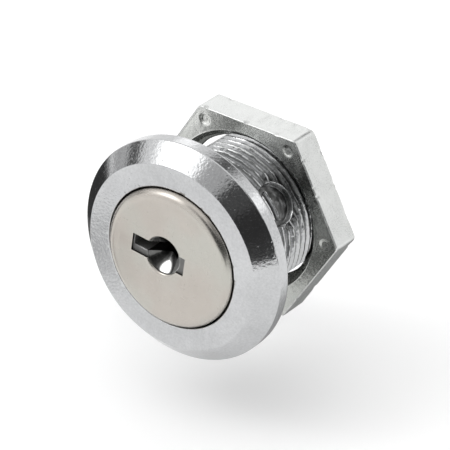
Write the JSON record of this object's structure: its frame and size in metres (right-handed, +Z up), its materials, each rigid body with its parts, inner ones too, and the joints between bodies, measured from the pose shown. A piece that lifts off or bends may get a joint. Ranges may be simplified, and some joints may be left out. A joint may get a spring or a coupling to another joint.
{
  "type": "cam lock",
  "caption": "Keyed cam lock with a bevelled round bezel, threaded double-flat barrel, hexagonal fixing nut, wafer plug and flat cam that swings a quarter turn.",
  "frame": {"origin": "on the barrel's axis, at the rear seating face of the bezel, where it rests on the door panel", "axes": "the lock's face looks along -Y, +Y along the barrel towards the cam, +Z up, +X to the right as seen by someone facing the lock"},
  "size_m": [0.0396, 0.0269, 0.0363],
  "materials": {
    "chromed_housing": "bright chrome plate on a zinc die casting",
    "satin_cap": "satin nickel",
    "zinc_plug": "as cast zinc alloy",
    "zinc_nut": "plated zinc die casting, fine grain",
    "brass_wafer": "stamped brass",
    "spring_bronze": "phosphor bronze wire",
    "plated_steel": "bright zinc plated steel"
  },
  "bodies": {
    "lock_body": {"housing": "chromed_housing"},
    "plug": {"plug": "zinc_plug", "face_cap": "satin_cap", "wafer_spring_1": "spring_bronze", "wafer_spring_2": "spring_bronze", "wafer_spring_3": "spring_bronze", "wafer_spring_4": "spring_bronze", "wafer_spring_5": "spring_bronze", "wafer_spring_6": "spring_bronze", "wafer_spring_7": "spring_bronze", "stop_washer": "plated_steel", "cam": "plated_steel", "lock_washer": "plated_steel", "cam_screw": "plated_steel"},
    "wafer_1": {"wafer_1": "brass_wafer"},
    "wafer_2": {"wafer_2": "brass_wafer"},
    "wafer_3": {"wafer_3": "brass_wafer"},
    "wafer_4": {"wafer_4": "brass_wafer"},
    "wafer_5": {"wafer_5": "brass_wafer"},
    "wafer_6": {"wafer_6": "brass_wafer"},
    "wafer_7": {"wafer_7": "brass_wafer"},
    "nut": {"hex_nut": "zinc_nut"}
  },
  "joints": [
    {"name": "plug_turn", "type": "hinge", "parent": "lock_body", "child": "plug", "pos_m": [0, 0, 0], "axis": [0, 1, 0], "range_deg": [0, 90]},
    {"name": "wafer_1_slide", "type": "slide", "parent": "plug", "child": "wafer_1", "axis": [0.988, 0, -0.1547], "range_m": [-0.0004, 0.0008], "stiffness_N_per_m": 80, "springref_m": 0.0008, "deforming": ["wafer_spring_1"]},
    {"name": "wafer_2_slide", "type": "slide", "parent": "plug", "child": "wafer_2", "axis": [0.988, 0, -0.1547], "range_m": [-0.0004, 0.0008], "stiffness_N_per_m": 80, "springref_m": 0.0008, "deforming": ["wafer_spring_2"]},
    {"name": "wafer_3_slide", "type": "slide", "parent": "plug", "child": "wafer_3", "axis": [0.988, 0, -0.1547], "range_m": [-0.0004, 0.0008], "stiffness_N_per_m": 80, "springref_m": 0.0008, "deforming": ["wafer_spring_3"]},
    {"name": "wafer_4_slide", "type": "slide", "parent": "plug", "child": "wafer_4", "axis": [0.988, 0, -0.1547], "range_m": [-0.0004, 0.0008], "stiffness_N_per_m": 80, "springref_m": 0.0008, "deforming": ["wafer_spring_4"]},
    {"name": "wafer_5_slide", "type": "slide", "parent": "plug", "child": "wafer_5", "axis": [0.988, 0, -0.1547], "range_m": [-0.0004, 0.0008], "stiffness_N_per_m": 80, "springref_m": 0.0008, "deforming": ["wafer_spring_5"]},
    {"name": "wafer_6_slide", "type": "slide", "parent": "plug", "child": "wafer_6", "axis": [0.988, 0, -0.1547], "range_m": [-0.0004, 0.0008], "stiffness_N_per_m": 80, "springref_m": 0.0008, "deforming": ["wafer_spring_6"]},
    {"name": "wafer_7_slide", "type": "slide", "parent": "plug", "child": "wafer_7", "axis": [0.988, 0, -0.1547], "range_m": [-0.0004, 0.0008], "stiffness_N_per_m": 80, "springref_m": 0.0008, "deforming": ["wafer_spring_7"]},
    {"name": "nut_travel", "type": "slide", "parent": "lock_body", "child": "nut", "axis": [0, -1, 0], "range_m": [-0.002, 0.01]}
  ]
}
